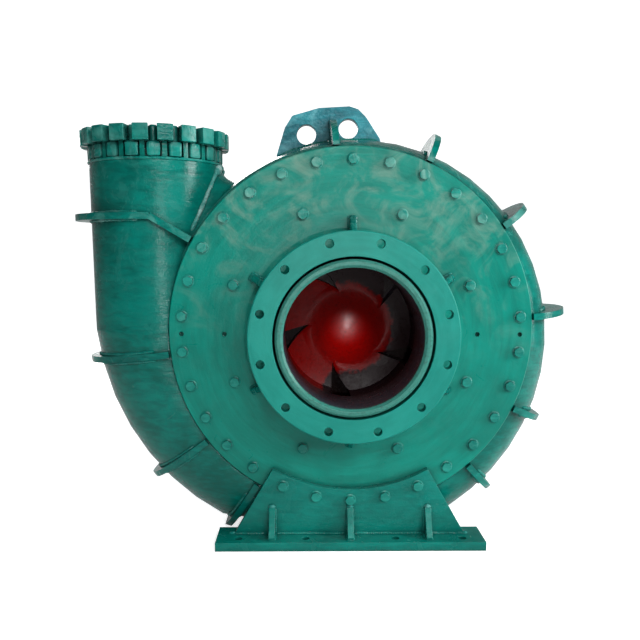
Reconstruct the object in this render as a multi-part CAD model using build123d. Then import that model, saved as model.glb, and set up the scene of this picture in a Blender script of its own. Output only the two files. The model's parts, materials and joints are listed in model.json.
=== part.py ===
from build123d import *
import os
from math import cos, hypot, log, pi, radians, sin, tan

# Driving dimensions, in millimetres.
# Everything is drawn about the shaft axis: x to the right and y up as seen from the suction side,
# z towards the suction side. The last function turns it to stand on the ground, drive end at +Y.

# Ground below the round covers
ground_below_cover = 72.0

# Volute casing
seat_half = 128.0
opening_radius = 345.0
casing_wall = 32.0
casing_side_wall = 22.0
spiral_start_radius = 422.0
spiral_end_radius = 590.0
spiral_power = 1.6
rim_depth = 50.0
section_power = 3.0
section_root = 15.0
tongue_angle = 125.0
tongue_overlap = 15.0
throat_angle = -180.0
casing_swell = 12.0
belly_clearance = 8.0
belly_half_angle = 60.0
seat_step = 7.0
seat_clearance = 2.0
outer_step = 8.0
inner_step = 16.0

# Discharge branch
branch_radius = 148.0
branch_bore = 116.0
branch_top = 406.0
flange_ring_radius = 166.0
flange_ring_height = 33.0
stud_count = 20
stud_circle = 136.5
stud_radius = 7.5
slot_radius = 9.0
nut_side = 23.0
nut_height = 32.0
pocket_clearance = 1.5
pocket_width = 36.0
pocket_height = 36.0

# Casing ribs: angle and height above the casing
rib_thickness = 14.0
rib_proud = 10.0
rib_root_gap = 3.0
tall_rib = 46.0
low_rib = 25.0
upper_rib_angles = (95.0, 66.0, 35.5, 5.5)
lower_rib_angles = (-24.5, -48.0, -121.5, -143.0, -173.5)
branch_rib_rise = 37.0
branch_rib_drop = 154.0
branch_rib_angle = 149.7

# Lifting lug
lug_thickness = 24.0
lug_hole_radius = 22.0
lug_holes = ((-98.0, 18.0), (-3.0, 31.0))

# Covers and their bolts
cover_radius = 398.0
cover_thickness = 22.0
cover_bolt_circle = 370.6
cover_bolt_count = 30
liner_bolt_circle = 277.0
liner_bolt_count = 8
liner_bolt_first = 22.5
jack_hole_radius = 5.0
jack_hole_depth = 12.0
edge_chamfer = 2.0
bolt_flats = 24.0
bolt_head = 10.0
bolt_radius = 8.0
thread_engagement = 18.0
liner_thread = 13.0
small_bolt_flats = 17.0
small_bolt_head = 7.0
small_bolt_radius = 5.0
small_bolt_thread = 14.0
bracket_bolt_thread = 16.0

# Suction branch
suction_reach = 110.0
suction_flange_radius = 220.0
suction_flange_thickness = 24.0
suction_bolt_circle = 200.0
suction_bolt_count = 12
suction_bolt_hole = 9.0
neck_bore = 168.0
neck_wall = 14.0
gusset_count = 6
gusset_foot = 254.0
gusset_thickness = 14.0
gusset_toe = 8.0
gusset_inset = 6.0

# Liners
throat_bore = 146.0
throat_wall = 17.0
throat_lip = 2.0
lip_round = 5.0
liner_thickness = 22.0
liner_gap = 5.0

# Feet
saddle_thickness = 20.0
saddle_arc = 347.0
saddle_half_angle = 30.0
foot_half_length = 298.0
foot_plate = 20.0
foot_overhang = 56.0
foot_gap = 0.5
foot_hole_x = (99.9, 249.4)
foot_hole_reach = 29.0
foot_hole_radius = 9.0
foot_gusset_x = 174.6
foot_gusset_top = 83.0
foot_gusset_reach = 44.0
foot_gusset_thickness = 13.0
foot_gusset_toe = 6.0

# Impeller
impeller_radius = 325.0
impeller_side_gap = 8.0
shroud_thickness = 18.0
eye_radius = 151.0
nose_radius = 60.0
nose_tip = 10.0
hub_flare = 37.0
hub_radius = 80.0
hub_boss = 28.0
inlet_root_radius = 68.0
inlet_root_depth = -12.0
vane_count = 5
vane_thickness = 66.0
vane_closing = 0.8
vane_angle = 26.0
vane_root_radius = 97.0
vane_start = -44.0

# Shaft line
thread_radius = 42.0
sleeve_seat = 45.0
sleeve_radius = 55.0
bearing_seat = 50.0
shaft_body = 56.0
extension_radius = 42.5
extension_length = 110.0
extension_stand_off = 30.0
key_width = 22.0
key_height = 14.0
key_depth = 9.0
key_length = 90.0
shaft_nose = 20.0
running_clearance = 0.1

# Stuffing box and gland
box_flange_radius = 135.0
box_flange_thickness = 18.0
box_radius = 88.0
box_bore = 71.0
box_fit = 0.5
box_neck = 57.0
box_length = 106.0
box_end_radius = 118.0
box_end_thickness = 20.0
box_bolt_count = 6
flush_boss_radius = 14.0
flush_boss_top = 43.0
flush_boss_back = 8.0
plug_flats = 22.0
plug_height = 12.0
packing_width = 16.0
lantern_width = 20.0
outer_packing_count = 3
gland_travel = 25.0
gland_gap = 0.3
gland_flange = 18.0
gland_stand_off = 12.0
gland_radius = 120.0
gland_stud_x = 98.0
gland_nut = 13.0
gland_height = 190.0
stud_tail = 12.0

# Bearing bracket
bracket_flange_radius = 225.0
bracket_flange_thickness = 20.0
bracket_bolt_circle = 205.0
bracket_bolt_count = 8
bracket_bolt_first = 22.5
lantern_outer = 165.0
lantern_inner = 145.0
barrel_wall = 22.5
barrel_length = 385.0
gland_room = 129.0
barrel_taper = 30.0
boss_rise = 6.0
glass_boss_radius = 26.0
plug_boss_radius = 18.0
drain_inset = 70.0
window_half = 85.0
pedestal_plate = 25.0
pedestal_half_x = 190.0
pedestal_stand_off = 115.0
pedestal_length = 180.0
pedestal_hole_x = 160.0
pedestal_hole_inset = 30.0
pedestal_hole_radius = 11.0
web_thickness = 22.0
web_inset = 40.0
web_margin = 20.0

# Bearings
bearing_outer = 107.5
bearing_width = 47.0
race_inner = 68.0
race_outer = 90.0
roller_play = 0.3
roller_width = 32.0
front_bearing_inset = 45.0
rear_bearing_inset = 80.0
end_cover_step = 2.0
end_cover_thickness = 14.0
seal_radius = 70.0
seal_width = 12.0
shaft_gap = 2.0
locknut_radius = 68.0
locknut_width = 20.0
flinger_radius = 72.0
flinger_width = 12.0
flinger_gap = 14.0
cover_pocket = 10.0
cover_float = 3.0
end_bolt_count = 6
end_bolt_first = 30.0

# Places worked out from the sizes above
shaft_height = cover_radius + ground_below_cover
start_half_width = seat_half + casing_swell
section_start_radius = spiral_start_radius - rim_depth
cover_face = seat_half + cover_thickness
suction_face = cover_face + suction_reach
spiral_sweep = tongue_angle - throat_angle
branch_x = branch_radius - spiral_end_radius
belly_depth = shaft_height - belly_clearance
liner_face = seat_half - liner_thickness
impeller_half = liner_face - impeller_side_gap
hub_back = impeller_half + hub_boss
foot_front = cover_face + saddle_thickness + foot_overhang
foot_back = seat_half - foot_gap
foot_hole_z = cover_face + saddle_thickness + foot_hole_reach
box_end = cover_face + box_length
barrel_radius = bearing_outer + barrel_wall
barrel_front = box_end + gland_room
barrel_back = barrel_front + barrel_length
pedestal_front = barrel_front + pedestal_stand_off
pedestal_back = pedestal_front + pedestal_length
front_bearing = barrel_front + front_bearing_inset
rear_bearing = barrel_back - rear_bearing_inset
end_cover_radius = barrel_radius - end_cover_step
packing_end = cover_face + (outer_packing_count + 1) * packing_width + lantern_width
gland_front = box_end + gland_stand_off
gland_back = gland_front + gland_flange
sleeve_end = barrel_front - end_cover_thickness - flinger_gap - flinger_width
shaft_end = barrel_back + extension_stand_off + extension_length
lantern_front = -cover_face - packing_width
barrel_middle = -(pedestal_front + pedestal_back) / 2
flush_boss_z = lantern_front - lantern_width / 2 - flush_boss_back


def cylinder(radius, low, high):
    """Solid cylinder on the shaft axis between two depths."""
    return Pos(0, 0, low) * Cylinder(radius, high - low, align=(Align.CENTER, Align.CENTER, Align.MIN))


def ring(outer, inner, low, high):
    """Plain ring on the shaft axis."""
    return cylinder(outer, low, high) - cylinder(inner, low - 1, high + 1)


def turned(points):
    """Solid turned about the shaft axis from a closed outline of (radius, depth) points."""
    return revolve(Plane.XZ * make_face(Polyline(*points, close=True)), axis=Axis.Z)


def around(shape, count, radius, first=0.0):
    """Copies of a shape on a bolt circle."""
    step = 360.0 / count
    return [Rot(0, 0, first + step * i) * Pos(radius, 0, 0) * shape for i in range(count)]


def hex_bar(flats, length):
    """Hexagonal bar standing on the plane z = 0."""
    return extrude(RegularPolygon(flats / 2, 6, major_radius=False), length)


def bolt(shank_length, flats=bolt_flats, head=bolt_head, radius=bolt_radius):
    """Hexagon bolt: the head above z = 0, the shank, drawn with six sides, below it."""
    shank = Pos(0, 0, -shank_length) * hex_bar(2 * radius, shank_length)
    return hex_bar(flats, head) + shank


def plate_across_x(points, thickness, x=0.0):
    """Flat plate in the y, z plane, from (z, y) points."""
    face = Plane.YZ * make_face(Polyline(*[(y, z) for z, y in points], close=True))
    return Pos(x - thickness / 2, 0, 0) * extrude(face, thickness)


def turn(angle):
    """Share of the spiral passed at an angle, 0 at the tongue and 1 at the throat."""
    return max(0.0, (tongue_angle - angle) / spiral_sweep)


def spiral_radius(angle):
    """Outer radius of the casing, which grows towards the throat and clears the ground below."""
    growth = spiral_end_radius - spiral_start_radius
    radius = spiral_start_radius + growth * turn(angle) ** spiral_power
    lean = angle + 90.0
    if abs(lean) < belly_half_angle:
        radius = min(radius, belly_depth / cos(radians(lean)))
    return radius


def section_centre(angle):
    """Radius at which the rounding of the section starts: a full circle at the throat."""
    end = spiral_end_radius - branch_radius
    centre = section_start_radius + (end - section_start_radius) * turn(angle) ** section_power
    return min(centre, spiral_radius(angle) - rim_depth)


def section_half(angle):
    """Half of the casing's width at an angle."""
    return start_half_width + (branch_radius - start_half_width) * turn(angle)


def radial_plane(angle):
    """Plane through the shaft axis: its x runs outwards at the angle, its y along the axis."""
    across = (sin(radians(angle)), -cos(radians(angle)), 0)
    return Plane(origin=(0, 0, 0), x_dir=(cos(radians(angle)), sin(radians(angle)), 0), z_dir=across)


def round_end(centre, reach, half):
    """Half ellipse of an outline, from one side of the section over its rim to the other."""
    place = (centre, 0)
    return [EllipticalCenterArc(place, reach, half, start_angle=a, arc_size=90) for a in (-90, 0)]


def volute_section(angle, wall, side_wall):
    """Section of the volute at an angle, smaller by the walls for the channel inside."""
    root = opening_radius - section_root
    side = seat_half - side_wall
    centre = section_centre(angle)
    reach = spiral_radius(angle) - wall - centre
    half = section_half(angle) - wall
    back = Polyline((centre, half), (root, side), (root, -side), (centre, -half))
    return radial_plane(angle) * make_face([*back.edges(), *round_end(centre, reach, half)])


def volute_loft(wall, side_wall, step):
    """The spiral itself, lofted through sections from behind the tongue to the throat."""
    first = tongue_angle + tongue_overlap
    count = round((first - throat_angle) / step)
    angles = [first + (throat_angle - first) * i / count for i in range(count + 1)]
    return loft([volute_section(a, wall, side_wall) for a in angles], ruled=True)


def upright(radius, low, high):
    """Vertical cylinder on the axis of the discharge branch."""
    middle = (low + high) / 2
    return Pos(branch_x, middle, 0) * Rot(90, 0, 0) * Cylinder(radius, high - low)


def on_branch(shape, height):
    """Copies of a shape around the branch; its z points up and its x away from the branch."""
    step = 360.0 / stud_count
    lift = Pos(branch_x, height, 0) * Rot(-90, 0, 0)
    return [lift * Rot(0, 0, step * (i + 0.5)) * Pos(stud_circle, 0, 0) * shape for i in range(stud_count)]


def cover_seats():
    """Room for the round covers on both sides of the casing."""
    seat = cover_radius + seat_clearance
    return cylinder(seat, seat_half, 2 * seat_half) + cylinder(seat, -2 * seat_half, -seat_half)


def casing_outside():
    """Outer form of the casing without its branch: spiral, round body and the turned cover seats."""
    body = cylinder(cover_radius + seat_step, -seat_half, seat_half)
    return volute_loft(0.0, 0.0, outer_step) + body - cover_seats()


def volute_casing(outside):
    """Casing shell: the channel, the impeller chamber and the way out into the branch."""
    channel = volute_loft(casing_wall, casing_side_wall, inner_step)
    chamber = cylinder(opening_radius, -seat_half - 1, seat_half + 1)
    bore = upright(branch_bore, 0.0, branch_top + 1)
    return outside - (channel + chamber + bore)


def discharge_branch(outside):
    """Upright tube welded on the end of the spiral, with pockets for the nuts under its flange."""
    tube = upright(branch_radius, 0.0, branch_top) - upright(branch_bore, -1.0, branch_top + 1)
    tube = tube - outside - cover_seats()
    inner = nut_side / 2 + pocket_clearance
    depth = branch_radius - stud_circle + nut_side
    pocket = Box(depth, pocket_width, pocket_height, align=(Align.MIN, Align.CENTER, Align.MAX))
    return tube - on_branch(Pos(-inner, 0, 1) * pocket, branch_top)


def casing_ribs(outside, lug):
    """Stiffening ribs welded on edge around the casing."""
    heights = [(a, tall_rib) for a in upper_rib_angles] + [(a, low_rib) for a in lower_rib_angles]
    root = cover_radius + rib_root_gap
    ground = Pos(0, -belly_depth - seat_half, 0) * Box(4 * spiral_end_radius, 2 * seat_half, 4 * seat_half)
    ribs = []
    for angle, height in heights:
        reach = spiral_radius(angle) + height - root
        half = section_half(angle) + rib_proud
        rim = [*round_end(root, reach, half), Line((root, half), (root, -half))]
        plate = radial_plane(angle) * make_face(rim)
        rib = extrude(plate, rib_thickness / 2, both=True) - outside - lug - ground
        rib -= upright(branch_radius, 0.0, branch_top)
        ribs += rib.solids()
    return ribs


def branch_rib(outside):
    """Rib around the discharge branch: level on the left, then bent down towards the shaft."""
    height = branch_top - branch_rib_drop
    bend = height / tan(radians(branch_rib_angle))
    half = branch_radius + rib_proud
    root = cover_radius + rib_root_gap
    reach = hypot(height, bend)
    oval = Ellipse(branch_radius + branch_rib_rise, half)
    rib = Pos(branch_x, height, 0) * Rot(90, 0, 0) * extrude(oval, rib_thickness / 2, both=True)
    side = (Align.MIN, Align.CENTER, Align.CENTER)
    rib -= Pos(bend, height, 0) * Box(4 * branch_radius, 2 * rib_thickness, 4 * half, align=side)
    leg = Polyline((root, -half), (reach, -half), (reach, half), (root, half), close=True)
    rib += extrude(radial_plane(branch_rib_angle) * make_face(leg), rib_thickness / 2, both=True)
    return rib - outside - upright(branch_radius, 0.0, branch_top)


def lifting_lug(outside):
    """Lifting plate with two shackle holes; its outline is drawn from the crown of the casing."""
    outline = [(-158, -52), (-166, -28), (-147, 33), (-130, 59), (-70, 76), (-1, 80)]
    outline += [(19, 74), (37, 57), (69, 10), (80, -42)]
    plate = extrude(make_face(Polyline(*outline, close=True)), lug_thickness / 2, both=True)
    for x, y in lug_holes:
        plate -= Pos(x, y, 0) * Cylinder(lug_hole_radius, 2 * lug_thickness)
    return Pos(0, spiral_start_radius, 0) * plate - outside


def discharge_flange():
    """Slotted flange ring on top of the branch."""
    flange = upright(flange_ring_radius, branch_top, branch_top + flange_ring_height)
    flange -= upright(branch_bore, branch_top - 1, branch_top + flange_ring_height + 1)
    length = 2 * flange_ring_radius - 2 * stud_circle
    side = (Align.MIN, Align.CENTER, Align.MIN)
    slot = Box(length, 2 * slot_radius, flange_ring_height + 2, align=side)
    slot = Pos(-slot_radius, 0, -1) * slot
    return flange - on_branch(slot, branch_top)


def discharge_studs():
    """Studs standing in the slots of the flange ring."""
    length = nut_height + flange_ring_height
    stud = Cylinder(stud_radius, length, align=(Align.CENTER, Align.CENTER, Align.MIN))
    return on_branch(Pos(0, 0, -nut_height) * stud, branch_top)


def discharge_nuts():
    """Square nuts in the pockets under the flange ring."""
    nut = Box(nut_side, nut_side, nut_height, align=(Align.CENTER, Align.CENTER, Align.MAX))
    nut -= Cylinder(stud_radius, 3 * nut_height)
    return on_branch(nut, branch_top)


def front_cover():
    """Front cover plate with its jacking holes."""
    outline = [
        (neck_bore, seat_half),
        (cover_radius, seat_half),
        (cover_radius, cover_face - edge_chamfer),
        (cover_radius - edge_chamfer, cover_face),
        (neck_bore, cover_face),
    ]
    cover = turned(outline)
    for circle in (cover_bolt_circle, liner_bolt_circle):
        jack_hole = cylinder(jack_hole_radius, cover_face - jack_hole_depth, cover_face + 1)
        cover -= around(jack_hole, 2, circle)
    return cover


def suction_branch():
    """Suction neck with its drilled flange, welded on the front cover."""
    neck = neck_bore + neck_wall
    flange_back = suction_face - suction_flange_thickness
    outline = [
        (neck_bore, cover_face),
        (neck, cover_face),
        (neck, flange_back),
        (suction_flange_radius, flange_back),
        (suction_flange_radius, suction_face - edge_chamfer),
        (suction_flange_radius - edge_chamfer, suction_face),
        (neck_bore, suction_face),
    ]
    hole = cylinder(suction_bolt_hole, flange_back - 1, suction_face + 1)
    return turned(outline) - around(hole, suction_bolt_count, suction_bolt_circle, 15.0)


def suction_gussets():
    """Six plates that stiffen the suction neck between the cover and the flange."""
    neck = neck_bore + neck_wall
    flange_back = suction_face - suction_flange_thickness
    outline = [
        (neck - 1, cover_face),
        (gusset_foot, cover_face),
        (gusset_foot, cover_face + gusset_toe),
        (suction_flange_radius - gusset_inset, flange_back - gusset_inset),
        (suction_flange_radius - gusset_inset, flange_back),
        (neck - 1, flange_back),
    ]
    step = 360.0 / gusset_count
    gussets = []
    for i in range(gusset_count):
        face = radial_plane(step * (i + 0.5)) * make_face(Polyline(*outline, close=True))
        plate = extrude(face, gusset_thickness / 2, both=True)
        gussets.append(plate - cylinder(neck, cover_face - 1, suction_face))
    return gussets


def front_liner():
    """Wear liner on the inside of the front cover, with the throat tube that lines the neck."""
    lip = suction_face + throat_lip
    throat = throat_bore + throat_wall
    outline = [
        (throat_bore, liner_face),
        (opening_radius - liner_gap, liner_face),
        (opening_radius - liner_gap, seat_half),
        (throat, seat_half),
        (throat, lip - lip_round),
        (throat - lip_round, lip),
        (throat_bore + lip_round, lip),
        (throat_bore, lip - lip_round),
    ]
    return turned(outline)


def cover_bolts():
    """Ring of bolts of one cover; the lowest five hold the foot's saddle as well."""
    bolts = []
    step = 360.0 / cover_bolt_count
    for i in range(cover_bolt_count):
        angle = 90 + step * i
        low = abs((angle - 270 + 180) % 360 - 180) < saddle_half_angle - 4
        face = cover_face + (saddle_thickness if low else 0.0)
        shank = face - seat_half + thread_engagement
        bolts.append(Rot(0, 0, angle) * Pos(cover_bolt_circle, 0, face) * bolt(shank))
    return bolts


def liner_bolts():
    """Bolts that hold the wear liner to its cover."""
    shank = cover_thickness + liner_thread
    return around(Pos(0, 0, cover_face) * bolt(shank), liner_bolt_count, liner_bolt_circle, liner_bolt_first)


def foot():
    """Foot of the casing: saddle plate under the cover bolts, base plate and three gussets."""
    ground = -shaft_height
    top = ground + foot_plate
    half = radians(saddle_half_angle)
    inner = (saddle_arc * sin(half), -saddle_arc * cos(half))
    outer = (-top * tan(half), top)
    crown = ThreePointArc((-inner[0], inner[1]), (0, -saddle_arc), inner)
    sides = Polyline(inner, outer, (-outer[0], outer[1]), (-inner[0], inner[1]))
    saddle = Pos(0, 0, cover_face) * extrude(make_face([crown, *sides.edges()]), saddle_thickness)
    middle = (foot_front + foot_back) / 2
    base = Box(2 * foot_half_length, foot_plate, foot_front - foot_back)
    base = Pos(0, ground + foot_plate / 2, middle) * base
    hole = Rot(90, 0, 0) * Cylinder(foot_hole_radius, 3 * foot_plate)
    for x in foot_hole_x:
        for side in (-x, x):
            base -= Pos(side, ground, foot_hole_z) * hole
    face = cover_face + saddle_thickness
    rib = [
        (face - 1, top - 1),
        (face + foot_gusset_reach, top - 1),
        (face + foot_gusset_reach, top + foot_gusset_toe),
        (face + foot_gusset_toe, -shaft_height + foot_gusset_top),
        (face - 1, -shaft_height + foot_gusset_top),
    ]
    shape = saddle + base
    for x in (-foot_gusset_x, 0.0, foot_gusset_x):
        shape += plate_across_x(rib, foot_gusset_thickness, x)
    return shape


def to_rear(shapes):
    """The same shapes turned round to the drive side of the casing."""
    return [Rot(0, 180, 0) * s for s in shapes]


def rear_cover():
    """Rear cover plate with the hole for the stuffing box and its jacking holes."""
    outline = [
        (box_radius + box_fit, -seat_half),
        (cover_radius, -seat_half),
        (cover_radius, edge_chamfer - cover_face),
        (cover_radius - edge_chamfer, -cover_face),
        (box_radius + box_fit, -cover_face),
    ]
    return turned(outline)


def rear_liner():
    """Wear liner on the inside of the rear cover."""
    return ring(opening_radius - liner_gap, hub_radius + 10.0, -seat_half, -liner_face)


def impeller():
    """Closed impeller: flared hub with a domed nose, two shrouds and swept vanes between them."""
    back = -impeller_half
    floor = back + shroud_thickness
    dome = nose_tip - nose_radius
    steps = [radians(15 * i) for i in range(7)]
    nose = [(nose_radius * sin(t), dome + nose_radius * cos(t)) for t in steps]
    flare = [(hub_flare * (1 - cos(t)) + nose_radius, dome - (dome - floor) * sin(t)) for t in steps[1:]]
    hub = [
        *nose,
        *flare,
        (impeller_radius, floor),
        (impeller_radius, back),
        (hub_radius, back),
        (hub_radius, -hub_back),
        (thread_radius, -hub_back),
        (thread_radius, -shaft_nose),
        (0, -shaft_nose),
    ]
    front = ring(impeller_radius, eye_radius, impeller_half - shroud_thickness, impeller_half)
    low, high = floor - 1, impeller_half - shroud_thickness + 1
    eye = [(0, inlet_root_depth), (inlet_root_radius, inlet_root_depth), (eye_radius, high)]
    inlet = turned([*eye, (eye_radius, 2 * high), (0, 2 * high)])
    wheel = turned(hub) + front
    for i in range(vane_count):
        blade = extrude(vane_outline(vane_start + 360.0 / vane_count * i), high - low)
        wheel += Pos(0, 0, low) * blade - inlet
    return wheel - cylinder(thread_radius, -hub_back - 1, -shaft_nose)


def vane_outline(tip):
    """Plan of one vane: pointed at the inlet, on a logarithmic spiral, thick in the middle."""
    steps = 8
    face, back = [], []
    for i in range(steps + 1):
        share = i / steps
        radius = vane_root_radius + (impeller_radius - vane_root_radius) * share
        angle = radians(tip) + log(radius / vane_root_radius) / tan(radians(vane_angle))
        width = vane_thickness * sin(vane_closing * pi * share**0.5) / radius
        face.append((radius * cos(angle), radius * sin(angle)))
        back.append((radius * cos(angle - width), radius * sin(angle - width)))
    return make_face([Spline(*face), Line(face[-1], back[-1]), Spline(*back)])


def shaft():
    """Stepped shaft: impeller thread, sleeve seat, two bearing seats, extension with a keyway."""
    outline = [
        (0, -shaft_nose),
        (thread_radius, -shaft_nose),
        (thread_radius, -hub_back),
        (sleeve_seat, -hub_back),
        (sleeve_seat, -sleeve_end),
        (bearing_seat, -sleeve_end),
        (bearing_seat, -front_bearing - bearing_width),
        (shaft_body, -front_bearing - bearing_width),
        (shaft_body, -rear_bearing),
        (bearing_seat, -rear_bearing),
        (bearing_seat, extension_length - shaft_end),
        (extension_radius, extension_length - shaft_end),
        (extension_radius, edge_chamfer - shaft_end),
        (extension_radius - edge_chamfer, -shaft_end),
        (0, -shaft_end),
    ]
    return turned(outline) - key_blank(key_length)


def key_blank(length):
    """Bar of the key's section, bedded in the shaft extension."""
    start = shaft_end - extension_length + (extension_length - key_length) / 2
    low = extension_radius - key_depth
    return Pos(0, low + key_height / 2, -start - length / 2) * Box(key_width, key_height, length)


def stuffing_box():
    """Stuffing box: flange on the rear cover, barrel for the packing, end flange, flushing boss."""
    flange_back = cover_face + box_flange_thickness
    outline = [
        (box_neck, -seat_half),
        (box_radius, -seat_half),
        (box_radius, -cover_face),
        (box_flange_radius, -cover_face),
        (box_flange_radius, -flange_back),
        (box_radius, -flange_back),
        (box_radius, box_end_thickness - box_end),
        (box_end_radius, box_end_thickness - box_end),
        (box_end_radius, -box_end),
        (box_bore, -box_end),
        (box_bore, -cover_face),
        (box_neck, -cover_face),
    ]
    boss = Cylinder(flush_boss_radius, flush_boss_top, align=(Align.CENTER, Align.CENTER, Align.MIN))
    body = turned(outline) + Pos(0, box_bore, flush_boss_z) * Rot(-90, 0, 0) * boss
    return body - cylinder(box_bore, -box_end - 1, -cover_face)


def packing_rings():
    """Square packing rings: one before the lantern ring, the others behind it."""
    inner = sleeve_radius + running_clearance
    rings = [ring(box_bore, inner, -cover_face - packing_width, -cover_face)]
    start = cover_face + packing_width + lantern_width
    for i in range(outer_packing_count):
        high = -start - packing_width * i
        rings.append(ring(box_bore, inner, high - packing_width, high))
    return rings


def gland_follower():
    """Two-bolt gland: a nose that presses on the packing and a flange with two stud holes."""
    nose = box_bore - box_fit
    outline = [
        (box_neck, -packing_end - gland_gap),
        (nose, -packing_end - gland_gap),
        (nose, -gland_front),
        (gland_radius, -gland_front),
        (gland_radius, -gland_back),
        (box_neck, -gland_back),
    ]
    gland = turned(outline) & Pos(0, 0, -gland_front) * Box(2 * gland_radius, gland_height, 2 * box_length)
    for x in (-gland_stud_x, gland_stud_x):
        gland -= Pos(x, 0, -gland_front) * Cylinder(bolt_radius + 1, 3 * gland_flange)
    return gland


def gland_studs():
    """Two studs screwed into the end flange of the stuffing box."""
    end = gland_back + gland_travel + gland_nut + stud_tail
    start = box_end - box_end_thickness + 4
    stud = cylinder(bolt_radius, -end, -start)
    return [Pos(x, 0, 0) * stud for x in (-gland_stud_x, gland_stud_x)]


def gland_nuts():
    """Nuts that set the gland."""
    nut = hex_bar(bolt_flats, gland_nut) - Cylinder(bolt_radius + running_clearance, 100)
    return [Pos(x, 0, -gland_back - gland_nut) * nut for x in (-gland_stud_x, gland_stud_x)]


def bearing_bracket():
    """Bracket: flange on the rear cover, lantern with two windows, bearing barrel and pedestal."""
    flange_back = cover_face + bracket_flange_thickness
    wall = lantern_outer - lantern_inner
    outline = [
        (lantern_inner, -cover_face),
        (bracket_flange_radius, -cover_face),
        (bracket_flange_radius, -flange_back),
        (lantern_outer, -flange_back),
        (lantern_outer, -barrel_front - wall),
        (barrel_radius, -barrel_front - wall - barrel_taper),
        (barrel_radius, -barrel_back),
        (bearing_outer, -barrel_back),
        (bearing_outer, -barrel_front),
        (lantern_inner, -barrel_front),
    ]
    body = turned(outline)
    low, high = flange_back + wall, barrel_front - wall - 5
    window = Pos(0, 0, -(low + high) / 2) * Box(3 * lantern_outer, 2 * window_half, high - low)
    body -= window
    ground = -shaft_height
    top = ground + pedestal_plate
    depth = pedestal_back - pedestal_front
    stand = Box(2 * pedestal_half_x, pedestal_plate, depth)
    stand = Pos(0, ground + pedestal_plate / 2, barrel_middle) * stand
    height = -barrel_radius * 0.6 - top
    stand += Pos(0, top + height / 2, barrel_middle) * Box(web_thickness, height, depth - web_margin)
    cross = [(-pedestal_half_x + web_margin, top - 1), (pedestal_half_x - web_margin, top - 1)]
    cross += [(barrel_radius * 0.75, -60), (-barrel_radius * 0.75, -60)]
    web = extrude(make_face(Polyline(*cross, close=True)), web_thickness / 2, both=True)
    for z in (barrel_middle - depth / 2 + web_inset, barrel_middle + depth / 2 - web_inset):
        stand += Pos(0, 0, z) * web
    for x in (-pedestal_hole_x, pedestal_hole_x):
        for z in (-pedestal_front - pedestal_hole_inset, -pedestal_back + pedestal_hole_inset):
            stand -= Pos(x, ground, z) * Rot(90, 0, 0) * Cylinder(pedestal_hole_radius, 100)
    rise = 2 * (boss_rise + edge_chamfer)
    small, large = Cylinder(plug_boss_radius, rise), Cylinder(glass_boss_radius, 2 * rise)
    low = Pos(0, rise / 2 - barrel_radius - boss_rise, -barrel_front - drain_inset)
    low_boss = low * Rot(90, 0, 0) * small
    top_boss = Pos(0, barrel_radius + boss_rise - rise / 2, barrel_middle) * Rot(90, 0, 0) * small
    side_boss = Pos(barrel_radius + boss_rise - rise, 0, barrel_middle) * Rot(0, 90, 0) * large
    body = body + stand + low_boss + top_boss + side_boss
    return body - cylinder(bearing_outer, -barrel_back - 1, -barrel_front)


def end_cover(face, inner_end):
    """Bearing end cover drawn from its outer face inwards, with the seat of the lip seal."""
    spigot = bearing_outer - running_clearance
    outline = [
        (seal_radius, 0),
        (end_cover_radius, 0),
        (end_cover_radius, -end_cover_thickness),
        (spigot, -end_cover_thickness),
        (spigot, -inner_end),
        (race_outer, -inner_end),
        (race_outer, -end_cover_thickness - cover_pocket),
        (bearing_seat + shaft_gap, -end_cover_thickness - cover_pocket),
        (bearing_seat + shaft_gap, -end_cover_thickness + 1),
        (seal_radius, -end_cover_thickness + 1),
    ]
    return Pos(0, 0, face) * turned(outline)


def end_cover_bolts(face, facing):
    """Ring of six small bolts of a bearing end cover."""
    ring_radius = (barrel_radius + bearing_outer) / 2
    shank = end_cover_thickness + small_bolt_thread
    one = bolt(shank, small_bolt_flats, small_bolt_head, small_bolt_radius)
    seated = Pos(0, 0, face) * Rot(0, 90 - 90 * facing, 0) * one
    return around(seated, end_bolt_count, ring_radius, end_bolt_first)


def bearing(start):
    """Outer ring, inner ring and the ring of rollers of one bearing."""
    low, high = -start - bearing_width, -start
    middle = (low + high) / 2
    outer = ring(bearing_outer, race_outer, low, high)
    inner = ring(race_inner, bearing_seat, low, high)
    half = roller_width / 2
    rollers = ring(race_outer - roller_play, race_inner + roller_play, middle - half, middle + half)
    return outer, inner, rollers


def breather():
    """Oil filler with a mushroom cap on top of the barrel."""
    outline = [(0, 0), (10, 0), (10, 14), (22, 14), (22, 24), (12, 32), (0, 32)]
    return Pos(0, barrel_radius + boss_rise, barrel_middle) * Rot(-90, 0, 0) * turned(outline)


def level_glass():
    """Oil level glass on the side boss."""
    place = Pos(barrel_radius + boss_rise, 0, barrel_middle) * Rot(0, 90, 0)
    return place * turned([(0, 0), (20, 0), (20, 5), (14, 9), (0, 9)])


def standing(shape):
    """Turn a shape from the shaft frame to the ground frame: drive end at +Y, up at +Z."""
    solids = shape if isinstance(shape, (list, tuple)) else shape.solids()
    place = Pos(0, 0, shaft_height) * Rot(90, 0, 0)
    moved = [place * s for s in solids]
    return moved[0] if len(moved) == 1 else Compound(children=moved)


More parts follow.
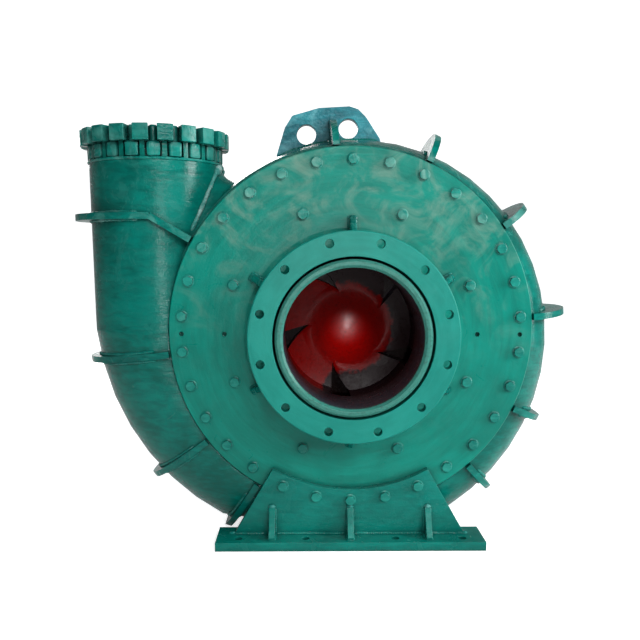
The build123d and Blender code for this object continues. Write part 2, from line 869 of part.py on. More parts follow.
def build():
    """All parts of the pump by name."""
    outside = casing_outside()
    lug = lifting_lug(outside)
    foot_shape = foot()
    front_outer, front_inner, front_rollers = bearing(front_bearing)
    rear_outer, rear_inner, rear_rollers = bearing(rear_bearing)
    front_face = end_cover_thickness - barrel_front
    rear_face = -barrel_back - end_cover_thickness
    box_screw = bolt(box_flange_thickness + small_bolt_thread)
    box_screw = Pos(0, 0, -cover_face - box_flange_thickness) * Rot(180, 0, 0) * box_screw
    bracket_screw = bolt(bracket_flange_thickness + bracket_bolt_thread)
    bracket_screw = Pos(0, 0, -cover_face - bracket_flange_thickness) * Rot(180, 0, 0) * bracket_screw
    plug = hex_bar(plug_flats, plug_height)
    seal_hole = bearing_seat + running_clearance
    lantern = ring(box_bore - box_fit, box_neck - box_fit, lantern_front - lantern_width, lantern_front)
    front_cap = end_cover(front_face, front_bearing - barrel_front + end_cover_thickness)
    rear_spigot = barrel_back - rear_bearing - bearing_width + end_cover_thickness - cover_float
    rear_cap = Rot(0, 180, 0) * end_cover(-rear_face, rear_spigot)
    rear_race = -rear_bearing - bearing_width
    drain_place = Pos(0, -barrel_radius - boss_rise, -barrel_front - drain_inset) * Rot(90, 0, 0)
    parts = {
        "volute_casing": volute_casing(outside),
        "discharge_branch": discharge_branch(outside),
        "casing_ribs": casing_ribs(outside, lug),
        "branch_rib": branch_rib(outside),
        "lifting_lug": lug,
        "discharge_flange": discharge_flange(),
        "discharge_studs": discharge_studs(),
        "discharge_nuts": discharge_nuts(),
        "front_cover": front_cover(),
        "suction_branch": suction_branch(),
        "suction_gussets": suction_gussets(),
        "front_cover_bolts": cover_bolts(),
        "front_liner": front_liner(),
        "front_liner_bolts": liner_bolts(),
        "front_foot": foot_shape,
        "rear_cover": rear_cover(),
        "rear_cover_bolts": to_rear(cover_bolts()),
        "rear_liner": rear_liner(),
        "rear_liner_bolts": to_rear(liner_bolts()),
        "rear_foot": to_rear([foot_shape]),
        "stuffing_box": stuffing_box(),
        "stuffing_box_bolts": around(box_screw, box_bolt_count, (box_radius + box_flange_radius) / 2),
        "packing_rings": packing_rings(),
        "lantern_ring": lantern,
        "flush_plug": Pos(0, box_bore + flush_boss_top, flush_boss_z) * Rot(-90, 0, 0) * plug,
        "gland_studs": gland_studs(),
        "gland_follower": gland_follower(),
        "gland_nuts": gland_nuts(),
        "bearing_bracket": bearing_bracket(),
        "bracket_bolts": around(bracket_screw, bracket_bolt_count, bracket_bolt_circle, bracket_bolt_first),
        "front_bearing_outer_ring": front_outer,
        "rear_bearing_outer_ring": rear_outer,
        "front_end_cover": front_cap,
        "rear_end_cover": rear_cap,
        "front_end_cover_bolts": end_cover_bolts(front_face, 1),
        "rear_end_cover_bolts": end_cover_bolts(rear_face, -1),
        "front_lip_seal": ring(seal_radius, seal_hole, front_face - seal_width, front_face),
        "rear_lip_seal": ring(seal_radius, seal_hole, rear_face, rear_face + seal_width),
        "oil_breather": breather(),
        "oil_level_glass": level_glass(),
        "oil_drain_plug": drain_place * plug,
        "impeller": impeller(),
        "shaft": shaft(),
        "shaft_sleeve": ring(sleeve_radius, sleeve_seat, -sleeve_end, -hub_back),
        "front_bearing_inner_ring": front_inner,
        "rear_bearing_inner_ring": rear_inner,
        "front_roller_ring": front_rollers,
        "rear_roller_ring": rear_rollers,
        "bearing_locknut": ring(locknut_radius, bearing_seat, rear_race - locknut_width, rear_race),
        "flinger": ring(flinger_radius, bearing_seat, -sleeve_end - flinger_width, -sleeve_end),
        "shaft_key": key_blank(key_length),
    }
    os.makedirs("parts", exist_ok=True)
    for name, shape in parts.items():
        export_step(standing(shape), f"parts/{name}.step")


build()
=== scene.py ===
# %% [markdown]
# # A slurry pump in green enamel
# The pump stands on its feet with the suction flange towards us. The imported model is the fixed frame: its
# pieces already lie at their real size, in metres, with the shaft along Y. This notebook dresses them. Forms
# that a flat-faced solid can't show well, such as the smooth spiral casing, weld beads, chamfered bolt heads
# and the curved vanes, are worked out here with numpy and stand in for the plain pieces.

# %% Load the frame
import json
from math import cos, log, pi, radians, sin, sqrt, tan

import bmesh
import bpy
import numpy as np
from mathutils import Matrix, Vector
from mathutils.bvhtree import BVHTree


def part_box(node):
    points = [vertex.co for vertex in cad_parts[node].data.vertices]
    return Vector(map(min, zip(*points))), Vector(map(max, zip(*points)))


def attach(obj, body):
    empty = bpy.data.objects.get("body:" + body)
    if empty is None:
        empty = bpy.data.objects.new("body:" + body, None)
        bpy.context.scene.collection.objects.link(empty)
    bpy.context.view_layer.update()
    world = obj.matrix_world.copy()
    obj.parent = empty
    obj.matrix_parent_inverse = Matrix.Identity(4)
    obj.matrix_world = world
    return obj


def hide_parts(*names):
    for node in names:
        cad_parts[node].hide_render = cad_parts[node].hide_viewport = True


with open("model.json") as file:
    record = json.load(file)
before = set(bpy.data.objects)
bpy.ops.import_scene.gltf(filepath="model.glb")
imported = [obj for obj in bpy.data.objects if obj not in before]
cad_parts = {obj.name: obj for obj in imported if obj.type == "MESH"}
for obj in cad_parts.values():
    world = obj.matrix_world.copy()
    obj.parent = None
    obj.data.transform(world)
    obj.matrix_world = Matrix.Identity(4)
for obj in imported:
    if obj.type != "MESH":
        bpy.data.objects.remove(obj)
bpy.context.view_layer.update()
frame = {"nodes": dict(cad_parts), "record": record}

nodes = frame["nodes"]
mounts = {mount["name"]: mount for mount in frame["record"]["mounts"]}

# %% [markdown]
# ## Places that the frame gives
# The suction flange's bolt pattern lies on the shaft axis, so its height is the shaft's height. Corners of
# the pieces' boxes give the radii and depths that the new surfaces have to meet. The suction side looks along
# minus Y, so distances towards it are kept as plain lengths and get their sign where they are used.

# %% Measure the frame
shaft_height = mounts["suction_flange_bolts"]["pos_m"][2]
cover_low, cover_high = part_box("front_cover")
cover_radius = cover_high.x
seat_half = -cover_high.y
suction_face = -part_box("suction_branch")[0].y
flange_low, flange_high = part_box("discharge_flange")
branch_x = (flange_low.x + flange_high.x) / 2
flange_top = flange_high.z
flange_bottom = flange_low.z
tube_low, tube_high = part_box("discharge_branch")
branch_radius = (tube_high.x - tube_low.x) / 2
rib_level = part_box("branch_rib")[1].z - 0.007
cover_face = -cover_low.y
neck_radius, flange_back, flange_rim = 0.182, suction_face - 0.024, 0.214
gusset_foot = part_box("suction_gussets")[1].z - shaft_height
print("shaft height", round(shaft_height, 3), "cover radius", round(cover_radius, 3))
print("branch at x", round(branch_x, 3), "with radius", round(branch_radius, 3))

# %% [markdown]
# ## Camera, floor and light
# The camera stands where the photographer stood: a little left of the shaft, above it, looking slightly down,
# with a rising shift. The place was worked out from the suction flange's bolt circle. The floor runs up into
# a white background. A white surface can be had by more light, which would bleach the paint, so the floor
# glows a little instead, and only in what the camera and reflections see.

# %% Camera
camera_data = bpy.data.cameras.new("camera")
camera_data.sensor_width = 36.0
camera_data.lens = 42.19
camera_data.shift_x = 0.0016
camera_data.shift_y = 0.100
camera = bpy.data.objects.new("camera", camera_data)
camera_yaw, camera_pitch, camera_roll = -0.0165, -0.1701, -0.003
turn_matrix = Matrix.Rotation(camera_yaw, 4, "Z") @ Matrix.Rotation(camera_pitch, 4, "X")
turn_matrix = turn_matrix @ Matrix.Rotation(camera_roll, 4, "Y") @ Matrix.Rotation(pi / 2, 4, "X")
camera.matrix_world = Matrix.Translation((-0.09707, -1.78474, 0.64039)) @ turn_matrix
bpy.context.scene.collection.objects.link(camera)
bpy.context.scene.camera = camera
bpy.context.scene.view_settings.view_transform = "Standard"


# %% Helpers for shader nodes
def new_material(name):
    """An empty material with an output node, and its node tree's parts."""
    material = bpy.data.materials.new(name)
    material.use_nodes = True
    tree = material.node_tree
    tree.nodes.clear()
    output = tree.nodes.new("ShaderNodeOutputMaterial")
    return material, tree, output


def put(tree, kind, **settings):
    """A new node with its properties set."""
    node = tree.nodes.new(kind)
    for key, value in settings.items():
        setattr(node, key, value)
    return node


def math_node(tree, operation, first, second=None):
    """A Math node fed by sockets or numbers."""
    node = put(tree, "ShaderNodeMath", operation=operation)
    for socket, value in zip(node.inputs, (first, second)):
        if value is None:
            continue
        if isinstance(value, (int, float)):
            socket.default_value = value
        else:
            tree.links.new(value, socket)
    return node.outputs[0]


def map_range(tree, value, low, high, to_low=0.0, to_high=1.0):
    """A clamped Map Range node; the result eases in and out."""
    node = put(tree, "ShaderNodeMapRange", interpolation_type="SMOOTHSTEP")
    tree.links.new(value, node.inputs["Value"])
    node.inputs["From Min"].default_value = low
    node.inputs["From Max"].default_value = high
    node.inputs["To Min"].default_value = to_low
    node.inputs["To Max"].default_value = to_high
    return node.outputs[0]


def mix_colour(tree, share, first, second):
    """A Mix node for colours; each side is a socket or a colour."""
    node = put(tree, "ShaderNodeMix", data_type="RGBA")
    for socket, value in ((node.inputs[0], share), (node.inputs[6], first), (node.inputs[7], second)):
        if isinstance(value, bpy.types.NodeSocket):
            tree.links.new(value, socket)
        else:
            socket.default_value = value
    return node.outputs[2]


def noise(tree, vector, scale, detail=3.0, roughness=0.55, distortion=0.0):
    """A noise texture's factor; its grains are about 1 / scale metres across."""
    node = put(tree, "ShaderNodeTexNoise")
    tree.links.new(vector, node.inputs["Vector"])
    node.inputs["Scale"].default_value = scale
    node.inputs["Detail"].default_value = detail
    node.inputs["Roughness"].default_value = roughness
    node.inputs["Distortion"].default_value = distortion
    return node.outputs["Fac"]


def srgb(red, green, blue):
    """A colour as seen on screen, 0 to 255, turned into the shader's linear scale."""
    shares = [value / 255 for value in (red, green, blue)]
    return (*[s / 12.92 if s <= 0.04045 else ((s + 0.055) / 1.055) ** 2.4 for s in shares], 1.0)


# %% Floor and background
def stage_surface():
    """Floor that runs up into a wall: a profile of floor, quarter circle and wall drawn along X."""
    half_width, near, far, bend, height = 16.0, -16.0, 5.0, 2.0, 7.0
    turn = np.linspace(0, pi / 2, 24)
    depth = np.concatenate(([near], far - bend + bend * np.sin(turn), [far]))
    level = np.concatenate(([0.0], bend - bend * np.cos(turn), [height]))
    points = np.array([[(x, d, z) for d, z in zip(depth, level)] for x in (-half_width, half_width)])
    count = len(depth)
    faces = [(i, i + count, i + count + 1, i + 1) for i in range(count - 1)]
    mesh = bpy.data.meshes.new("studio_floor")
    mesh.from_pydata(points.reshape(-1, 3).tolist(), [], faces)
    mesh.shade_smooth()
    return bpy.data.objects.new("studio_floor", mesh)


mirrored_share, sky_light, floor_glow = 0.06, 0.18, 0.76
floor = stage_surface()
bpy.context.scene.collection.objects.link(floor)
floor_paint, tree, output = new_material("studio_white")
shader = put(tree, "ShaderNodeBsdfPrincipled")
shader.inputs["Base Color"].default_value = (0.80, 0.81, 0.81, 1.0)
shader.inputs["Roughness"].default_value = 0.9
shader.inputs["Specular IOR Level"].default_value = 0.1
rays = put(tree, "ShaderNodeLightPath")
mirrored = math_node(tree, "MULTIPLY", rays.outputs["Is Glossy Ray"], mirrored_share)
seen = math_node(tree, "ADD", rays.outputs["Is Camera Ray"], mirrored)
seen = math_node(tree, "ADD", seen, rays.outputs["Is Transmission Ray"])
glow = math_node(tree, "MULTIPLY", seen, floor_glow)
shader.inputs["Emission Color"].default_value = (1.0, 1.0, 1.0, 1.0)
tree.links.new(glow, shader.inputs["Emission Strength"])
tree.links.new(shader.outputs[0], output.inputs["Surface"])
floor.data.materials.append(floor_paint)

world = bpy.data.worlds.new("studio_air")
bpy.context.scene.world = world
world.use_nodes = True
tree = world.node_tree
background = tree.nodes["Background"]
background.inputs["Color"].default_value = (1.0, 1.0, 1.0, 1.0)
rays = put(tree, "ShaderNodeLightPath")
glossy = rays.outputs["Is Glossy Ray"]
seen = math_node(tree, "ADD", rays.outputs["Is Camera Ray"], rays.outputs["Is Transmission Ray"])
air = math_node(tree, "MAXIMUM", math_node(tree, "MULTIPLY", glossy, mirrored_share), seen)
sky_share = math_node(tree, "MULTIPLY", math_node(tree, "SUBTRACT", 1.0, glossy), sky_light)
air = math_node(tree, "MAXIMUM", air, sky_share)
tree.links.new(air, background.inputs["Strength"])


# %% Lamps
def softbox(name, place, aim, width, height, watts, tint=(1.0, 1.0, 1.0)):
    """A rectangular lamp at a place, turned to face a point; the camera doesn't see it."""
    lamp = bpy.data.lights.new(name, "AREA")
    lamp.shape = "RECTANGLE"
    lamp.size, lamp.size_y = width, height
    lamp.energy = watts
    lamp.color = tint
    box = bpy.data.objects.new(name, lamp)
    direction = Vector(aim) - Vector(place)
    box.matrix_world = Matrix.Translation(place) @ direction.to_track_quat("-Z", "Y").to_matrix().to_4x4()
    box.visible_camera = False
    bpy.context.scene.collection.objects.link(box)
    return box


# A high front lamp for the form, one at the right for the rims, one behind, and a small flash by the camera.
pump_middle = (0.0, 0.0, shaft_height)
softbox("sky_front", (0.9, -3.4, 2.3), pump_middle, 2.6, 1.2, 87.0)
softbox("key_right", (2.9, -1.0, 1.3), pump_middle, 0.8, 1.8, 84.0)
softbox("back_fill", (-1.4, 3.3, 1.9), pump_middle, 2.0, 1.4, 75.0)
softbox("flash", (0.00, -1.78, 0.56), pump_middle, 0.03, 0.03, 3.5)


# %% [markdown]
# ## Paint and metal
# The whole casing was sprayed and brushed over with a glossy enamel. Close to, such paint shows orange peel
# and slow waves where it ran. A paler colour grows towards the top, partly faded paint and partly a painted
# reflection, and corners and crevices get painted shade. One node group makes those effects from the place of a
# point, so that every green piece shares them with its own strengths. The shader itself stays in each material.

# %% Strokes round the shaft
def ring_space(group, place):
    """Coordinates for strokes round the shaft: the direction on the unit circle, and the radius far apart."""
    split = put(group, "ShaderNodeSeparateXYZ")
    group.links.new(place, split.inputs[0])
    x = split.outputs["X"]
    z = math_node(group, "SUBTRACT", split.outputs["Z"], shaft_height)
    squares = math_node(group, "ADD", math_node(group, "MULTIPLY", x, x), math_node(group, "MULTIPLY", z, z))
    radius = math_node(group, "SQRT", squares)
    join = put(group, "ShaderNodeCombineXYZ")
    for socket, value in (("X", x), ("Y", z)):
        share = math_node(group, "DIVIDE", value, math_node(group, "MAXIMUM", radius, 0.01))
        group.links.new(math_node(group, "MULTIPLY", share, 3.2), join.inputs[socket])
    group.links.new(math_node(group, "MULTIPLY", radius, 75.0), join.inputs["Z"])
    return join.outputs[0]


def mix_number(tree, share, first, second):
    """A Mix node for numbers, fed by sockets."""
    node = put(tree, "ShaderNodeMix", data_type="FLOAT")
    for socket, value in zip(node.inputs[:4], (share, None, first, second)):
        if value is not None:
            tree.links.new(value, socket)
    return node.outputs[0]


# %% Enamel group
def enamel_group():
    """Colour, roughness and height of brushed enamel, from the place of a point on the piece."""
    group = bpy.data.node_groups.new("brushed_enamel", "ShaderNodeTree")
    face = group.interface
    for name, kind, value in (
        ("Paint", "NodeSocketColor", (0.0, 0.25, 0.2, 1.0)),
        ("Deep", "NodeSocketColor", (0.0, 0.12, 0.1, 1.0)),
        ("Sheen And Fade", "NodeSocketColor", (0.2, 0.3, 0.25, 1.0)),
        ("Sheen And Fade Amount", "NodeSocketFloat", 0.4),
        ("Crevice Shade", "NodeSocketFloat", 0.6),
        ("Gloss", "NodeSocketFloat", 0.25),
        ("Peel", "NodeSocketFloat", 1.0),
        ("Swirl", "NodeSocketFloat", 0.0),
    ):
        socket = face.new_socket(name=name, in_out="INPUT", socket_type=kind)
        socket.default_value = value
    face.new_socket(name="Color", in_out="OUTPUT", socket_type="NodeSocketColor")
    for name in ("Roughness", "Height"):
        face.new_socket(name=name, in_out="OUTPUT", socket_type="NodeSocketFloat")
    inlet = group.nodes.new("NodeGroupInput")
    outlet = group.nodes.new("NodeGroupOutput")
    place = put(group, "ShaderNodeTexCoord").outputs["Object"]
    waves = noise(group, place, 4.5, 4.0, 0.6, 0.8)
    patches = noise(group, place, 11.0, 5.0, 0.62, 1.6)
    brush = put(group, "ShaderNodeMapping")
    brush.inputs["Scale"].default_value = (26.0, 26.0, 90.0)
    brush.inputs["Rotation"].default_value = (0.0, radians(28), 0.0)
    group.links.new(place, brush.inputs["Vector"])
    strokes = noise(group, brush.outputs[0], 1.0, 4.0, 0.55, 0.6)
    rings = noise(group, ring_space(group, place), 1.0, 4.0, 0.6, 0.5)
    strokes = mix_number(group, inlet.outputs["Swirl"], strokes, rings)
    peel = noise(group, place, 170.0, 2.0, 0.5)
    grit = noise(group, place, 620.0, 2.0, 0.6)
    # Painted shade: where ambient occlusion finds other surfaces near, in corners and crevices, the colour
    # darkens to deep green.
    crevice = put(group, "ShaderNodeAmbientOcclusion", samples=6)
    crevice.inputs["Distance"].default_value = 0.02
    crevice_shade = map_range(group, crevice.outputs["AO"], 0.35, 0.92, 1.0, 0.0)
    crevice_shade = math_node(group, "MULTIPLY", crevice_shade, inlet.outputs["Crevice Shade"])
    fine = math_node(group, "MULTIPLY", strokes, 0.4)
    depth = math_node(group, "ADD", math_node(group, "MULTIPLY", waves, 0.6), fine)
    cover = map_range(group, depth, 0.36, 0.66)
    colour = mix_colour(group, cover, inlet.outputs["Deep"], inlet.outputs["Paint"])
    split = put(group, "ShaderNodeSeparateXYZ")
    group.links.new(place, split.inputs[0])
    # The paler colour grows towards the top: partly faded paint, partly a painted reflection of the light above.
    sheen_towards_top = map_range(group, split.outputs["Z"], shaft_height - 0.12, shaft_height + 0.36, 0.03, 1.0)
    sheen_and_fade = math_node(group, "MULTIPLY", map_range(group, patches, 0.44, 0.78), inlet.outputs["Sheen And Fade Amount"])
    sheen_and_fade = math_node(group, "MULTIPLY", sheen_and_fade, sheen_towards_top)
    colour = mix_colour(group, sheen_and_fade, colour, inlet.outputs["Sheen And Fade"])
    colour = mix_colour(group, crevice_shade, colour, (0.004, 0.035, 0.03, 1.0))
    group.links.new(colour, outlet.inputs["Color"])
    rough = math_node(group, "ADD", inlet.outputs["Gloss"], math_node(group, "MULTIPLY", patches, 0.22))
    rough = math_node(group, "ADD", rough, math_node(group, "MULTIPLY", sheen_and_fade, 0.25))
    group.links.new(math_node(group, "ADD", rough, -0.08), outlet.inputs["Roughness"])
    drag = math_node(group, "MULTIPLY", strokes, 0.9)
    height = math_node(group, "ADD", math_node(group, "MULTIPLY", peel, 0.55), drag)
    height = math_node(group, "ADD", height, math_node(group, "MULTIPLY", grit, 0.12))
    height = math_node(group, "MULTIPLY", height, inlet.outputs["Peel"])
    group.links.new(height, outlet.inputs["Height"])
    return group


brushed_enamel = enamel_group()


def enamel(name, paint, deep, sheen_and_fade, sheen_and_fade_amount, crevice_shade_amount, gloss, peel, swirl):
    """A glossy enamel material: the enamel group feeds a Principled shader."""
    material, tree, output = new_material(name)
    group = put(tree, "ShaderNodeGroup", node_tree=brushed_enamel)
    values = {"Paint": paint, "Deep": deep, "Sheen And Fade": sheen_and_fade, "Sheen And Fade Amount": sheen_and_fade_amount}
    values.update({"Crevice Shade": crevice_shade_amount, "Gloss": gloss, "Peel": peel, "Swirl": swirl})
    for key, value in values.items():
        group.inputs[key].default_value = value
    bump = put(tree, "ShaderNodeBump")
    bump.inputs["Distance"].default_value = 0.0012
    bump.inputs["Strength"].default_value = 0.6
    shader = put(tree, "ShaderNodeBsdfPrincipled")
    shader.inputs["Specular IOR Level"].default_value = 0.24
    tree.links.new(group.outputs["Height"], bump.inputs["Height"])
    tree.links.new(group.outputs["Color"], shader.inputs["Base Color"])
    tree.links.new(group.outputs["Roughness"], shader.inputs["Roughness"])
    tree.links.new(bump.outputs[0], shader.inputs["Normal"])
    tree.links.new(shader.outputs[0], output.inputs["Surface"])
    return material


# Each paint: its colour, the darker coat under it and its paler sheen and fade colour, then the sheen and fade
# amount, the crevice shade, gloss, peel and swirl.
paints = {
    "casing": (srgb(0, 120, 108), srgb(0, 84, 75), srgb(56, 134, 124), 0.4, 0.7, 0.20, 1.2, 0.0),
    "cover": (srgb(0, 136, 120), srgb(0, 114, 100), srgb(126, 156, 140), 0.62, 0.6, 0.28, 0.8, 1.0),
    "flange": (srgb(20, 138, 125), srgb(4, 123, 111), srgb(74, 158, 146), 0.3, 0.6, 0.36, 0.5, 1.0),
    "ring": (srgb(16, 136, 124), srgb(0, 94, 86), srgb(92, 158, 148), 0.8, 0.9, 0.22, 1.6, 0.0),
    "foot": (srgb(0, 126, 114), srgb(0, 102, 92), srgb(24, 142, 130), 0.3, 0.7, 0.22, 1.0, 0.0),
    # The bolts' paint is lighter than the casing's: a painted highlight on their heads.
    "bolt": (srgb(34, 146, 132), srgb(2, 104, 94), srgb(136, 182, 168), 0.7, 0.9, 0.22, 1.0, 0.0),
    "rib": (srgb(2, 124, 112), srgb(0, 90, 82), srgb(100, 166, 156), 0.6, 0.6, 0.22, 1.2, 0.0),
    "weld": (srgb(24, 134, 122), srgb(0, 94, 86), srgb(136, 188, 180), 0.9, 0.5, 0.16, 1.8, 0.0),
    "lug": (srgb(44, 152, 164), srgb(6, 96, 108), srgb(124, 194, 202), 0.8, 0.5, 0.28, 3.0, 0.0),
    # The seam paint is paler than the rest: a painted highlight on the shoulder's seam beads and the weld blobs
    # of the feet.
    "seam": (srgb(84, 158, 150), srgb(20, 122, 114), srgb(196, 218, 214), 1.0, 0.4, 0.14, 1.8, 0.0),
}
coat = {name: enamel(name + "_enamel", *values) for name, values in paints.items()}
print("enamels:", ", ".join(coat))


# %% [markdown]
# The wheel is red on its hub and grey on its vanes, and the throat is bare further in. Both are two colours
# that meet along a ragged line, so one function makes both: noise is added to the measure that decides between
# the colours. Deeper in, painted shade turns both black. The hub's middle is polished, which a clear coat
# shows, and painted shade darkens the wheel away from the middle and towards the top.

# %% Red and grey of the wheel, the bare throat and their painted shade
def inside_paint(name, near, far, axis, first, last, ragged, rough, shade_depths):
    """Two colours that meet raggedly, along Y or the radius ("R"), and painted shade that turns them black
    between two depths.
    """
    material, tree, output = new_material(name)
    place = put(tree, "ShaderNodeTexCoord").outputs["Object"]
    split = put(tree, "ShaderNodeSeparateXYZ")
    tree.links.new(place, split.inputs[0])
    value = split.outputs["Y"]
    if axis == "R":
        height = math_node(tree, "SUBTRACT", split.outputs["Z"], shaft_height)
        squares = [math_node(tree, "MULTIPLY", side, side) for side in (split.outputs["X"], height)]
        radius = math_node(tree, "SQRT", math_node(tree, "ADD", *squares))
        # Painted shade: the wheel darkens away from the middle and towards the top, where the throat shades it.
        lower = math_node(tree, "ADD", radius, math_node(tree, "MULTIPLY", height, 0.40))
        painted_wheel_shade = map_range(tree, lower, 0.004, 0.070, 0.0, 0.70)
        polish = map_range(tree, radius, 0.012, 0.050, 1.0, 0.0)
        kept = map_range(tree, split.outputs["X"], -0.075, -0.03, 0.06, 0.0)
        value = math_node(tree, "SUBTRACT", radius, kept)
    tears = noise(tree, place, 46.0, 5.0, 0.65, 0.8)
    value = math_node(tree, "ADD", value, map_range(tree, tears, 0.3, 0.7, -ragged, ragged))
    grain = noise(tree, place, 150.0, 4.0, 0.6)
    shader = put(tree, "ShaderNodeBsdfPrincipled")
    shader.inputs["Specular IOR Level"].default_value = 0.10 if axis == "R" else 0.26
    shader.inputs["Coat Roughness"].default_value = 0.34
    shader.inputs["Coat IOR"].default_value = 1.9
    colour = mix_colour(tree, map_range(tree, value, first, last), near, far)
    specks = map_range(tree, grain, 0.45, 0.8, 0.0, 0.45)
    colour = mix_colour(tree, specks, colour, (0.01, 0.004, 0.004, 1.0))
    # Painted shade: deeper in along Y the colour turns black, in the wheel's pockets and far into the throat.
    depth = map_range(tree, split.outputs["Y"], *shade_depths)
    colour = mix_colour(tree, depth, colour, (0.003, 0.002, 0.002, 1.0))
    if axis == "R":
        colour = mix_colour(tree, painted_wheel_shade, colour, (0.012, 0.001, 0.001, 1.0))
        tree.links.new(polish, shader.inputs["Coat Weight"])
    tree.links.new(colour, shader.inputs["Base Color"])
    roughness = map_range(tree, tears, 0.3, 0.7, rough - 0.04, rough + 0.08)
    tree.links.new(roughness, shader.inputs["Roughness"])
    bump = put(tree, "ShaderNodeBump")
    bump.inputs["Distance"].default_value = 0.0006
    tree.links.new(grain, bump.inputs["Height"])
    tree.links.new(bump.outputs[0], shader.inputs["Normal"])
    tree.links.new(shader.outputs[0], output.inputs["Surface"])
    return material


wheel_paint = inside_paint("wheel_red", srgb(206, 6, 2), srgb(42, 37, 42), "R", 0.100, 0.112, 0.006, 0.30,
                           (0.017, 0.032))
lip = -suction_face
throat_paint = inside_paint("throat_dark", srgb(54, 124, 112), srgb(22, 58, 68), "Y", lip + 0.002, lip + 0.018,
                            0.003, 0.30, (lip + 0.02, lip + 0.20))


# %% Metals and soft materials
def metal(name, colour, metallic, rough, scale=90.0, relief=0.0002, stain=(0.05, 0.04, 0.03, 1.0)):
    """Turned or cast metal: fine grooves, patches of oil and stain."""
    material, tree, output = new_material(name)
    place = put(tree, "ShaderNodeTexCoord").outputs["Object"]
    patches = noise(tree, place, 14.0, 5.0, 0.6, 1.0)
    grain = noise(tree, place, scale, 4.0, 0.65)
    shader = put(tree, "ShaderNodeBsdfPrincipled")
    shader.inputs["Metallic"].default_value = metallic
    tint = mix_colour(tree, map_range(tree, patches, 0.55, 0.85, 0.0, 0.6), colour, stain)
    tree.links.new(tint, shader.inputs["Base Color"])
    tree.links.new(map_range(tree, grain, 0.3, 0.7, rough - 0.08, rough + 0.12), shader.inputs["Roughness"])
    bump = put(tree, "ShaderNodeBump")
    bump.inputs["Distance"].default_value = relief
    tree.links.new(grain, bump.inputs["Height"])
    tree.links.new(bump.outputs[0], shader.inputs["Normal"])
    tree.links.new(shader.outputs[0], output.inputs["Surface"])
    return material


turned_steel = metal("turned_steel", (0.56, 0.57, 0.58, 1.0), 1.0, 0.28)
hard_iron = metal("hard_iron", (0.20, 0.20, 0.20, 1.0), 0.8, 0.55, 160.0, 0.0006)
turned_bronze = metal("turned_bronze", (0.62, 0.42, 0.20, 1.0), 1.0, 0.3)
black_rubber = metal("black_rubber", (0.02, 0.02, 0.02, 1.0), 0.0, 0.6, 240.0, 0.0002)
plaited_packing = metal("plaited_packing", (0.26, 0.23, 0.17, 1.0), 0.0, 0.75, 320.0, 0.0008)

gauge_glass, tree, output = new_material("gauge_glass")
shader = put(tree, "ShaderNodeBsdfPrincipled")
shader.inputs["Base Color"].default_value = (0.8, 0.85, 0.8, 1.0)
shader.inputs["Transmission Weight"].default_value = 0.9
place = put(tree, "ShaderNodeTexCoord").outputs["Object"]
smears = map_range(tree, noise(tree, place, 60.0, 3.0, 0.6), 0.4, 0.7, 0.05, 0.16)
tree.links.new(smears, shader.inputs["Roughness"])
tree.links.new(shader.outputs[0], output.inputs["Surface"])


# %% [markdown]
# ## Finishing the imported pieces
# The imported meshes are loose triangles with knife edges, and paint never ends in a knife edge. Their shape may
# not change, but modifiers may finish them. Four of them work in a row: geometry nodes weld the triangles'
# corners, a planar decimate joins the triangles of each flat face, a bevel breaks the sharp edges, and a
# weighted normal keeps the flats flat while round faces shade smoothly. The same could be done by hand on a
# copy, but this way every piece keeps the very mesh that was packed.

# %% Welding and smoothing modifier
def smoothing_nodes(limit_angle):
    """Geometry nodes: merge corners, shade smooth, keep edges sharper than a limit crisp."""
    group = bpy.data.node_groups.new("smooth_turned_faces", "GeometryNodeTree")
    group.interface.new_socket(name="Geometry", in_out="INPUT", socket_type="NodeSocketGeometry")
    group.interface.new_socket(name="Geometry", in_out="OUTPUT", socket_type="NodeSocketGeometry")
    inlet, outlet = group.nodes.new("NodeGroupInput"), group.nodes.new("NodeGroupOutput")
    merge = put(group, "GeometryNodeMergeByDistance")
    merge.inputs["Distance"].default_value = 0.00001
    smooth = put(group, "GeometryNodeSetShadeSmooth", domain="FACE")
    crisp = put(group, "GeometryNodeSetShadeSmooth", domain="EDGE")
    crisp.inputs["Shade Smooth"].default_value = False
    angle = put(group, "GeometryNodeInputMeshEdgeAngle")
    limit = put(group, "FunctionNodeCompare", data_type="FLOAT", operation="GREATER_THAN")
    limit.inputs["B"].default_value = limit_angle
    group.links.new(inlet.outputs[0], merge.inputs["Geometry"])
    group.links.new(merge.outputs[0], smooth.inputs["Geometry"])
    group.links.new(smooth.outputs[0], crisp.inputs["Geometry"])
    group.links.new(angle.outputs["Unsigned Angle"], limit.inputs["A"])
    group.links.new(limit.outputs[0], crisp.inputs["Selection"])
    group.links.new(crisp.outputs[0], outlet.inputs[0])
    return group


smooth_turned_faces = smoothing_nodes(radians(32))


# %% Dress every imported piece
def break_edges(piece, width, segments=2):
    """Join flat triangles, round the sharp edges by a width and weight the normals by face size."""
    flats = piece.modifiers.new("join_flats", "DECIMATE")
    flats.decimate_type = "DISSOLVE"
    flats.angle_limit = radians(0.3)
    bevel = piece.modifiers.new("broken_edges", "BEVEL")
    bevel.width = width
    bevel.segments = segments
    bevel.limit_method = "ANGLE"
    bevel.angle_limit = radians(34)
    bevel.miter_outer = "MITER_ARC"
    weights = piece.modifiers.new("flat_faces_stay_flat", "WEIGHTED_NORMAL")
    weights.keep_sharp = True


